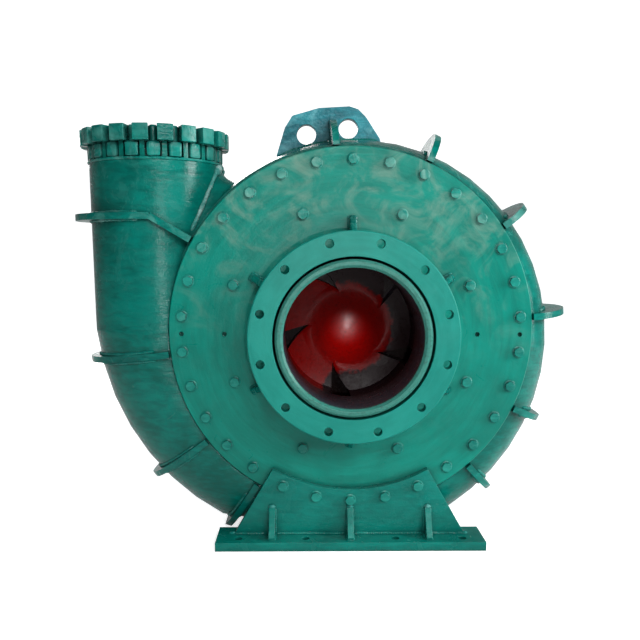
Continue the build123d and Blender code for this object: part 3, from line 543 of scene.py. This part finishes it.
finishes = {
    "green_paint": coat["casing"], "painted_fasteners": coat["bolt"], "lug_paint": coat["lug"],
    "red_paint": wheel_paint, "liner_paint": throat_paint, "wear_iron": hard_iron,
    "machined_steel": turned_steel, "gland_packing": plaited_packing, "bronze": turned_bronze,
    "seal_rubber": black_rubber, "glass": gauge_glass,
}
own_finishes = {
    "front_cover": coat["cover"], "rear_cover": coat["cover"], "front_foot": coat["foot"],
    "rear_foot": coat["foot"], "casing_ribs": coat["rib"], "branch_rib": coat["rib"],
    "suction_branch": coat["flange"], "suction_gussets": coat["rib"], "discharge_flange": coat["ring"],
    "front_liner": throat_paint,
}
edge_widths = {
    "casing_ribs": 0.0050, "branch_rib": 0.0058, "lifting_lug": 0.0050, "discharge_flange": 0.0022,
    "front_cover": 0.0020, "rear_cover": 0.0020, "front_foot": 0.0028,
    "rear_foot": 0.0028, "suction_branch": 0.0020, "suction_gussets": 0.0035, "discharge_branch": 0.0018,
    "bearing_bracket": 0.0030, "stuffing_box": 0.0015, "gland_follower": 0.0020, "impeller": 0.0030,
}
plain_edge = 0.0006
smooth_only = ("volute_casing", "packing_rings", "lantern_ring", "oil_level_glass")
slot_of = {part["node"]: part["material_slot"] for part in frame["record"]["subparts"]}
for name, piece in nodes.items():
    piece.data.materials.clear()
    piece.data.materials.append(own_finishes.get(name, finishes[slot_of[name]]))
    piece.modifiers.new("smooth_turned_faces", "NODES").node_group = smooth_turned_faces
    if name not in smooth_only:
        break_edges(piece, edge_widths.get(name, plain_edge))
print("dressed", len(nodes), "packed pieces")


# %% [markdown]
# ## A helper for grids of points
# Every new piece below is a surface of two parameters: rings of points, one after another. This cell turns such
# rings into closed skins, puts many of them into one mesh, and hands the mesh to the frame. Whole arrays are
# computed at once; only the number of faces grows with the number of pieces.

# %% Skins from rings of points
def ring_faces(rings, count, first, endless):
    """Quads between successive closed rings of points; flat caps at the ends unless the rings run round."""
    i, j = np.meshgrid(np.arange(rings if endless else rings - 1), np.arange(count), indexing="ij")
    n, k = (i + 1) % rings, (j + 1) % count
    corners = (i * count + j, i * count + k, n * count + k, n * count + j)
    quads = np.stack(corners, axis=-1).reshape(-1, 4) + first
    if endless:
        return quads.tolist()
    last = first + (rings - 1) * count
    return quads.tolist() + [list(range(first + count - 1, first - 1, -1)), list(range(last, last + count))]


def make_piece(name, skins, paint, replaced=(), body="pump_body", crisp_angle=34):
    """One object from skins, each an array of shape (rings, points, 3) in metres, placed in the frame."""
    points, faces, first = [], [], 0
    for skin in skins:
        endless = np.allclose(skin[0], skin[-1])
        skin = skin[:-1] if endless else skin
        rings, count = skin.shape[:2]
        faces += ring_faces(rings, count, first, endless)
        points.append(skin.reshape(-1, 3))
        first += rings * count
    mesh = bpy.data.meshes.new(name)
    mesh.from_pydata(np.concatenate(points).tolist(), [], faces)
    work = bmesh.new()
    work.from_mesh(mesh)
    bmesh.ops.recalc_face_normals(work, faces=work.faces)
    work.to_mesh(mesh)
    work.free()
    mesh.shade_smooth()
    mesh.set_sharp_from_angle(angle=radians(crisp_angle))
    mesh.materials.append(paint)
    piece = bpy.data.objects.new(name, mesh)
    bpy.context.scene.collection.objects.link(piece)
    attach(piece, body)
    if replaced:
        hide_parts(*replaced)
    print(name, len(skins), "skins,", len(faces), "faces")
    return piece


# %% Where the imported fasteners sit
def solids_of(name):
    """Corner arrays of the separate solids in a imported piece, found by welding its triangles."""
    work = bmesh.new()
    work.from_mesh(nodes[name].data)
    bmesh.ops.remove_doubles(work, verts=work.verts, dist=0.00001)
    work.verts.index_update()
    label = np.arange(len(work.verts))
    ends = np.array([[v.index for v in edge.verts] for edge in work.edges])
    while True:
        low = np.minimum(label[ends[:, 0]], label[ends[:, 1]])
        before = label.copy()
        np.minimum.at(label, ends[:, 0], low)
        np.minimum.at(label, ends[:, 1], low)
        if (before == label).all():
            break
    corners = np.array([v.co for v in work.verts])
    work.free()
    return [corners[label == key] for key in np.unique(label)]


# %% [markdown]
# ## Bolt heads
# The bolts are real hexagon bolts, painted over with the casing. A hexagon head is turned to a cone before it
# leaves the maker, which leaves arcs on its six sides; the paint gathers at its foot in a soft ring. Both are
# what the eye reads as a bolt, so the head is one surface: a hexagon's radius, cut off by the cone's radius
# near the top, and blended into a round foot at the bottom.

# %% Chamfered heads
def bolt_head(centre, outward, flats, height, turn):
    """Hexagon head: radius = flats / 2 / cos(angle to the nearest flat), never more than the chamfer cone."""
    around = np.arange(48) / 48 * 2 * pi
    to_flat = (around + turn) % (pi / 3) - pi / 6
    hexagon = flats / 2 / np.cos(to_flat)
    cone = flats / 2 * 0.985
    level = np.array([-0.3, 0.0, 0.10, 0.14, 0.5, 0.72, 0.80, 0.88, 0.95, 1.0, 1.0, 1.0]) * height
    over = np.maximum(level[:, None] - 0.70 * height, 0.0)
    radius = np.minimum(hexagon[None, :], cone + (0.30 * height - over) * 1.75)
    foot = flats * np.array([0.70, 0.70, 0.64, 0.0, 0.0, 0.0, 0.0, 0.0, 0.0, 0.0, 0.0, 0.0])
    radius = np.maximum(radius, foot[:, None])
    radius[10] *= 0.96
    radius[11] = flats * 0.12
    across = Vector((1.0, 0.0, 0.0)) if abs(outward[0]) < 0.5 else Vector((0.0, 1.0, 0.0))
    side = np.array(Vector(outward).cross(across).normalized())
    across = np.array(Vector(side).cross(Vector(outward)))
    spread = np.cos(around)[None, :, None] * across + np.sin(around)[None, :, None] * side
    return np.array(centre) + radius[:, :, None] * spread + level[:, None, None] * np.array(outward)


def dress_bolts(name, flats, height, paint):
    """Heads for one packed ring of bolts: each solid's middle, and its end away from the casing."""
    skins = []
    rng = np.random.default_rng(len(name))
    for corners in solids_of(name):
        low, high = corners.min(axis=0), corners.max(axis=0)
        middle = (low + high) / 2
        facing = 1.0 if middle[1] > 0 else -1.0
        if name in facing_suction:
            facing = -1.0
        end = high[1] if facing > 0 else low[1]
        centre = (middle[0], end - facing * height, middle[2])
        skins.append(bolt_head(centre, (0.0, facing, 0.0), flats, height, rng.uniform(0.0, pi / 3)))
    make_piece(name + "_painted", skins, paint, (name,))


large_flats, large_head = 0.0195, 0.0095
small_flats, small_head = 0.015, 0.007
facing_suction = ("front_end_cover_bolts",)
for name in ("front_cover_bolts", "front_liner_bolts", "rear_cover_bolts", "rear_liner_bolts",
             "stuffing_box_bolts", "bracket_bolts"):
    dress_bolts(name, large_flats, large_head, coat["bolt"])
for name in ("front_end_cover_bolts", "rear_end_cover_bolts"):
    dress_bolts(name, small_flats, small_head, coat["bolt"])


# %% [markdown]
# ## Weld beads
# Ribs, feet, gussets and the discharge tube are welded on, and the paint shows every ripple of the beads. A
# bead is a round bar carried along its seam, whose radius swells and shrinks once per ripple and wanders a
# little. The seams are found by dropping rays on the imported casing, so the beads lie on the real surface.

# %% Bead along a seam
def smooth_wander(count, step, rng):
    """A slow random wave: random values spaced by a step, joined by a cosine blend."""
    marks = rng.uniform(-1.0, 1.0, count // step + 3)
    place = np.arange(count) / step
    low = place.astype(int)
    share = (1 - np.cos((place - low) * pi)) / 2
    return marks[low] * (1 - share) + marks[low + 1] * share


def bead_skin(path, radius, rng, ripple=0.0045):
    """Round bar along a path: radius = r (1 + ripples + wander), pinched to a point at both ends."""
    path = np.asarray(path, dtype=float)
    steps = np.linalg.norm(np.diff(path, axis=0), axis=1)
    run = np.concatenate(([0.0], np.cumsum(steps)))
    count = max(8, int(run[-1] / 0.0016))
    along = np.linspace(0.0, run[-1], count)
    line = np.stack([np.interp(along, run, path[:, axis]) for axis in range(3)], axis=1)
    ahead = np.gradient(line, axis=0)
    ahead /= np.linalg.norm(ahead, axis=1)[:, None] + 1e-12
    helper = np.array([0.31, 0.22, 0.93]) if abs(ahead[:, 2]).mean() < 0.8 else np.array([0.93, 0.31, 0.22])
    side = np.cross(ahead, helper)
    side /= np.linalg.norm(side, axis=1)[:, None]
    lift = np.cross(side, ahead)
    ends = np.sqrt(np.clip(np.minimum(along, run[-1] - along) / (1.3 * radius), 0.02, 1.0))
    endless = np.allclose(path[0], path[-1])
    if endless:
        ends[:] = 1.0
    wave = 1 + 0.10 * np.sin(2 * pi * along / ripple + 2 * smooth_wander(count, 9, rng))
    swell = radius * ends * (wave + 0.16 * smooth_wander(count, 7, rng))
    if endless:
        for values in (side, lift, swell):
            values[-1] = values[0]
    around = -np.arange(10) / 10 * 2 * pi
    spread = np.cos(around)[None, :, None] * side[:, None, :] + np.sin(around)[None, :, None] * lift[:, None, :]
    return line[:, None, :] + swell[:, None, None] * spread


# %% Rays on the casing
def surface_tree(name):
    """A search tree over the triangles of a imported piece, for dropping rays on it."""
    mesh = nodes[name].data
    corners = [vertex.co.copy() for vertex in mesh.vertices]
    return BVHTree.FromPolygons(corners, [tuple(polygon.vertices) for polygon in mesh.polygons])


casing_tree = surface_tree("volute_casing")


def drop(start, way, tree=casing_tree):
    """Where a ray from a start point first meets the surface, or None."""
    return tree.ray_cast(Vector(start), Vector(way).normalized(), 2.0)[0]


def rib_seam(angle, offset, core=0.40, half_sweep=78.0):
    """Seam of a casing rib: rays fall towards a point inside the section, in a plane beside the rib."""
    outward = Vector((cos(radians(angle)), 0.0, sin(radians(angle))))
    aside = Vector((-sin(radians(angle)), 0.0, cos(radians(angle)))) * offset
    middle = Vector((0.0, 0.0, shaft_height)) + outward * core + aside
    seam = []
    for tilt in np.radians(np.linspace(-half_sweep, half_sweep, 41)):
        way = outward * cos(tilt) + Vector((0.0, sin(tilt), 0.0))
        hit = drop(middle + way * 0.6, -way)
        if hit is not None:
            seam.append(hit)
    return seam


# %% [markdown]
# ## Nuts and studs of the discharge flange
# Square nuts sit in the tube's pockets and their studs stand in the ring's slots, all under thick paint that
# has run into the gaps. A nut is a rounded square bar: each ring of points follows a superellipse
# |x|^n + |y|^n = 1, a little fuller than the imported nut. One stud stands out of the ring, as in the photograph.

# %% Discharge nuts and studs
def bar_skin(middle, outward, half_width, low, high, power, rng, dome=0.0022):
    """Upright bar with superellipse sections; its ends are drawn in, and the paint makes it a little uneven."""
    around = np.arange(40) / 40 * 2 * pi
    c, s = np.cos(around), np.sin(around)
    shape = (np.abs(c) ** power + np.abs(s) ** power) ** (-1 / power)
    across = np.array([-outward[1], outward[0], 0.0])
    share = np.array([0.0, 0.0, 0.04, 0.12, 0.5, 0.88, 0.96, 1.0, 1.0])
    pull = np.array([0.2, 0.80, 0.92, 1.0, 1.0, 1.0, 0.92, 0.80, 0.2])
    radius = half_width * shape[None, :] * pull[:, None]
    radius *= 1 + 0.018 * rng.standard_normal((9, 1)) + 0.010 * rng.standard_normal((1, 40))
    flat = radius[:, :, None] * (c[None, :, None] * outward + s[None, :, None] * across)
    level = low + (high - low) * share
    level[[0, 8]] += (-dome * 0.3, dome * 0.3)
    return np.array([middle[0], middle[1], 0.0]) + flat + level[:, None, None] * np.array([0.0, 0.0, 1.0])


# Each slot gets a stud and, behind it, a square bar of paint that fills the slot's round end.
rng = np.random.default_rng(3)
nut_half, stud_radius, filler_half = 0.0142, 0.0083, 0.0091
long_stud, proud = 0.988, 0.0055
nut_skins, stud_skins = [], []
for corners in solids_of("discharge_nuts"):
    low, high = corners.min(axis=0), corners.max(axis=0)
    middle = (low + high) / 2
    outward = np.array([middle[0] - branch_x, middle[1], 0.0])
    outward /= np.linalg.norm(outward)
    nut_skins.append(bar_skin(middle, outward, nut_half, low[2] + 0.001, high[2], 7.0, rng))
    top = flange_top + (proud if abs(outward[0] - long_stud) < 0.01 and outward[1] < 0 else -0.0004)
    stud_middle = middle + 0.0025 * outward
    stud_skins.append(bar_skin(stud_middle, outward, stud_radius, high[2] - 0.004, top, 2.0, rng))
    slot_middle = middle - 0.0040 * outward
    bottom, top = flange_bottom + 0.001, flange_top - 0.0006
    stud_skins.append(bar_skin(slot_middle, outward, filler_half, bottom, top, 9.0, rng, 0.0))
make_piece("discharge_nuts_painted", nut_skins, coat["ring"], ("discharge_nuts",))
make_piece("discharge_studs_painted", stud_skins, coat["ring"], ("discharge_studs",))
turns = np.linspace(0, 2 * pi, 241)
pocket_level = flange_bottom - 0.0345
paint_run = [(branch_x + branch_radius * cos(t), branch_radius * sin(t), pocket_level) for t in turns]
make_piece("pocket_welds", [bead_skin(paint_run, 0.0032, rng, 0.011)], coat["ring"])

# %% [markdown]
# ## Impeller
# The wheel is what one sees through the throat: a domed hub that flows into five swept vanes, each pointed
# where the slurry meets it. Both edges of a vane are logarithmic spirals,
# angle = start + ln(r / r0) tan(sweep), with a steep sweep for its pressure edge and a slight one for the edge
# of the vane before it, so that the pocket between two vanes is a wedge. The face rises towards the pressure
# edge. Red paint covers the hub only, and ends in a ragged line on the grey of the vanes.

# %% Impeller
wheel_low, wheel_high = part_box("impeller")
shaft_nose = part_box("shaft")[0].y
floor_y, eye_radius, tip_radius = -wheel_low.y - 0.018, 0.151, 0.092
hub_radius = 0.080
pressure_sweep, back_sweep = radians(40), radians(15)


def face_depth(radius):
    """Depth of the hub and the vane faces: a bell curve that flattens out and comes forward again."""
    far = np.clip((radius - 0.085) / 0.066, 0.0, 1.0)
    return -0.010 + 0.026 * (1 - np.exp(-((radius / 0.066) ** 2))) - 0.014 * far ** 1.6


def turned_skin(profile, count=120):
    """Solid of revolution about the shaft from (radius, y) points, with tiny caps on the axis."""
    profile = np.array(profile)
    turns = np.arange(count) / count * 2 * pi
    x = profile[:, :1] * np.cos(turns)
    z = shaft_height + profile[:, :1] * np.sin(turns)
    return np.stack([x, np.repeat(profile[:, 1:], count, axis=1), z], axis=2)


def vane_skin(start_angle):
    """One vane, from its pointed tip to the rim: a face between two spirals, walls and a foot in the disc."""
    rings = []
    seen, hidden = np.linspace(0.082, 0.150, 40), np.linspace(0.1512, wheel_high.x - 0.002, 24)
    for radius in np.concatenate([seen, hidden]):
        spread = max(0.0, log(radius / tip_radius))
        pocket = min(spread * (tan(pressure_sweep) - tan(back_sweep)), radians(40))
        first = radians(start_angle) + spread * tan(pressure_sweep)
        last = first - pocket + radians(72)
        share = np.linspace(0.0, 1.0, 30)
        grown = np.clip((radius - 0.084) / 0.022, 0.0, 1.0) ** 1.3
        lift = 0.010 * grown * (1 - share) ** 2.2 - 0.0006
        away = share * (last - first) * radius
        ridge_place = np.clip((radius - 0.082) / 0.008, 0.0, 1.0) * np.clip((0.125 - radius) / 0.03, 0.0, 1.0)
        ridge = 0.0035 * ridge_place * np.exp(-(away / 0.0035) ** 2)
        face = face_depth(np.full(30, radius)) - lift - ridge
        if radius > eye_radius:
            face[:] = -floor_y - 0.001
        down = np.array([0.25, 0.6, 0.9])
        foot = floor_y + 0.002
        angles = np.concatenate([first + share * (last - first), np.full(4, last), np.full(4, first)])
        depth = np.concatenate([face, face[-1] + (foot - face[-1]) * down, [foot], [foot],
                                face[0] + (foot - face[0]) * down[::-1]])
        rings.append(np.stack([radius * np.cos(angles), depth, shaft_height + radius * np.sin(angles)], axis=1))
    return np.array(rings)


hub_steps = np.linspace(0.0004, 0.0915, 34)
profile = [(r, float(face_depth(np.array(r)))) for r in hub_steps] + [(0.0922, 0.03), (0.0925, floor_y)]
profile += [(wheel_high.x, floor_y), (wheel_high.x, -wheel_low.y), (hub_radius, -wheel_low.y)]
profile += [(hub_radius, wheel_high.y), (0.0425, wheel_high.y), (0.0425, shaft_nose), (0.0004, shaft_nose)]
front_shroud = [(eye_radius, -floor_y), (wheel_high.x, -floor_y)]
front_shroud = np.array(front_shroud + [(wheel_high.x, wheel_low.y), (eye_radius, wheel_low.y)])
shroud_rings = []
for turn in np.linspace(0, 2 * pi, 121):
    across = front_shroud[:, 0]
    place = (across * cos(turn), front_shroud[:, 1], shaft_height + across * sin(turn))
    shroud_rings.append(np.stack(place, axis=1))
vanes = [vane_skin(-40.0 + 72.0 * i) for i in range(5)]
wheel_skins = [turned_skin(profile), np.array(shroud_rings)] + vanes
make_piece("impeller_cast", wheel_skins, wheel_paint, ("impeller",), body="rotor", crisp_angle=40)

# %% [markdown]
# ## Shoulder between the tube and the spiral
# Where the upright tube leaves the spiral, the casting fills the corner with a shoulder. Its seam on the tube
# runs down as it comes forward, from the top of the casing to the rim of the cover. Each cross-section is a
# quadratic Bezier curve from that seam, S, over the bare corner, C, to the casing, E:
# (1 - t)^2 S + 2 t (1 - t) C + t^2 E. A ray dropped on the casing finds E, so the shoulder never stands off it.

# %% Shoulder
def shoulder_lines(share):
    """The three control points at a share of the way from the middle plane (0) to the cover's rim (1)."""
    deep = 0.115 * share
    tube_x = branch_x + sqrt(branch_radius ** 2 - deep ** 2)
    level = shaft_height + 0.371 - 0.150 * share ** 2.1
    turn = radians(121.0 + 25.0 * share)
    reach = 0.396 + 0.0295 * sqrt(max(0.0, 1 - share ** 2))
    rim_deep = 0.122 * share ** 0.8
    outward = Vector((cos(turn), 0.0, sin(turn)))
    hit = drop(Vector((0.0, rim_deep, shaft_height)) + outward, -outward)
    if hit is not None:
        reach = min(reach, sqrt(hit.x ** 2 + (hit.z - shaft_height) ** 2) - 0.0012)
    rim = (reach * cos(turn), rim_deep, shaft_height + reach * sin(turn))
    corner_level = shaft_height + 0.310 - 0.090 * share ** 2.1
    corner = (tube_x + 0.016, (deep + rim[1]) / 2, corner_level)
    return np.array([(tube_x - 0.003, deep, level), corner, rim])


def shoulder_seam(side):
    """Points of the seam on the tube, from the middle plane to the cover's rim."""
    seam = []
    for share in np.linspace(0.05, 1.0, 40):
        x, y, z = shoulder_lines(share)[0]
        seam.append((x + 0.003, side * y, z))
    return seam


def shoulder_skin():
    """Closed skin: the Bezier curves over the corner, and a return path inside tube and casing."""
    share = np.linspace(0.0, 1.0, 17)
    rings = []
    for place in np.linspace(-1.0, 1.0, 49):
        start, corner, rim = shoulder_lines(abs(place))
        t = share[:, None]
        curve = (1 - t) ** 2 * start + 2 * t * (1 - t) * corner + t ** 2 * rim
        axis_point = np.array([0.0, 0.0, shaft_height])
        under_rim = rim + (axis_point - rim) * np.array([0.03, 0.0, 0.03])
        under_start = start + np.array([-0.010, 0.0, -0.012])
        under_corner = corner + np.array([-0.012, 0.0, -0.016])
        back = (1 - t) ** 2 * under_rim + 2 * t * (1 - t) * under_corner + t ** 2 * under_start
        ring = np.concatenate([curve, back])
        ring[:, 1] *= 1.0 if place > 0 else -1.0
        rings.append(ring)
    return np.array(rings)


for share in (0.0, 0.5, 1.0):
    end = shoulder_lines(share)[2]
    print("shoulder meets the casing at radius", round(float(np.hypot(end[0], end[2] - shaft_height)), 4))
make_piece("casing_shoulder", [shoulder_skin()], coat["casing"], crisp_angle=60)

# %% [markdown]
# ## Welding it together
# Each rib has a bead on either side, the lug one along each face of its foot, and the shoulder one heavy bead
# with a second one over its upper half. The radii are half the width of the beads.

# %% Weld the casing
rib_angles = (95.0, 66.0, 35.5, 5.5, -24.5, -48.0, -121.5, -143.0, -173.5)
rib_half, lug_half = 0.0095, 0.0135
rng = np.random.default_rng(7)
seams, branch_seams = [], []
for angle in rib_angles:
    for offset in (-rib_half, rib_half):
        seam = rib_seam(angle, offset)
        if len(seam) > 4:
            seams.append(bead_skin(seam, 0.0042, rng))
for side in (-1.0, 1.0):
    seam = shoulder_seam(side)
    branch_seams.append(bead_skin(seam[2:], 0.0050, rng, 0.006))
    branch_seams.append(bead_skin(seam[5:17], 0.0085, rng, 0.009))
lug_low, lug_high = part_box("lifting_lug")
for side in (-1.0, 1.0):
    places = np.linspace(lug_low.x + 0.006, lug_high.x - 0.006, 40)
    foot_line = [drop((x, side * lug_half, lug_high.z + 0.1), (0.0, 0.0, -1.0)) for x in places]
    seams.append(bead_skin(foot_line, 0.0055, rng))
make_piece("casing_welds", seams, coat["weld"])
make_piece("branch_seam", branch_seams, coat["seam"])

# %% Weld the feet
# Three gussets stand on each base plate, against the saddle plate; blobs of weld close their upper ends.
welds, blobs = [], []
saddle_front, base_top, base_half = seat_half + 0.042, 0.020, 0.262
gusset_places, gusset_half = (-0.1746, 0.0, 0.1746), 0.0068
for side in (-1.0, 1.0):
    face, top = side * saddle_front, base_top
    for x in gusset_places:
        for offset in (-gusset_half, gusset_half):
            corner = (x + offset, face, top)
            welds.append(bead_skin([(x + offset, face, top + 0.060), corner], 0.0034, rng))
            welds.append(bead_skin([corner, (x + offset, face + side * 0.042, top)], 0.0034, rng))
    spans = ((-base_half, -0.1816), (-0.1676, -0.007), (0.007, 0.1676), (0.1816, base_half))
    for low, high in spans:
        welds.append(bead_skin([(low, face, top), (high, face, top)], 0.0042, rng))
    for x in gusset_places:
        cap = [(x - 0.008, face, 0.083), (x, face + side * 0.003, 0.085), (x + 0.008, face, 0.083)]
        blobs.append(bead_skin(cap, 0.0050, rng, 0.008))
    for x in (base_half, -base_half):
        end = [(x - 0.010, face, top), (x + 0.006, face - side * 0.002, top)]
        blobs.append(bead_skin(end, 0.0055, rng, 0.008))

# %% Weld the suction branch and the branch rib
axis_point = np.array([0.0, 0.0, shaft_height])
plate = np.array([0.0, -cover_face, 0.0])
back = np.array([0.0, -flange_back, 0.0])
for i in range(6):
    angle = radians(30 + 60 * i)
    outward = np.array([cos(angle), 0.0, sin(angle)])
    aside = np.array([-sin(angle), 0.0, cos(angle)])
    for offset in (-0.0072, 0.0072):
        start = axis_point + aside * offset + outward * neck_radius
        foot_end = axis_point + aside * offset + outward * gusset_foot
        rim_end = axis_point + aside * offset + outward * flange_rim
        welds.append(bead_skin([start + plate, foot_end + plate], 0.0036, rng))
        welds.append(bead_skin([start + back, rim_end + back], 0.0036, rng))
turns = np.linspace(0, 2 * pi, 181)
ring = (neck_radius * np.cos(turns), np.full(181, -cover_face), shaft_height + neck_radius * np.sin(turns))
welds.append(bead_skin(np.stack(ring, axis=1), 0.0045, rng))
for level in (rib_level - 0.0075, rib_level + 0.0075):
    turns = np.radians(np.linspace(96.0, 264.0, 90))
    line = [(branch_x + branch_radius * cos(t), branch_radius * sin(t), level) for t in turns]
    welds.append(bead_skin(line, 0.0042, rng))
make_piece("plate_welds", welds, coat["weld"])
make_piece("weld_blobs", blobs, coat["seam"])
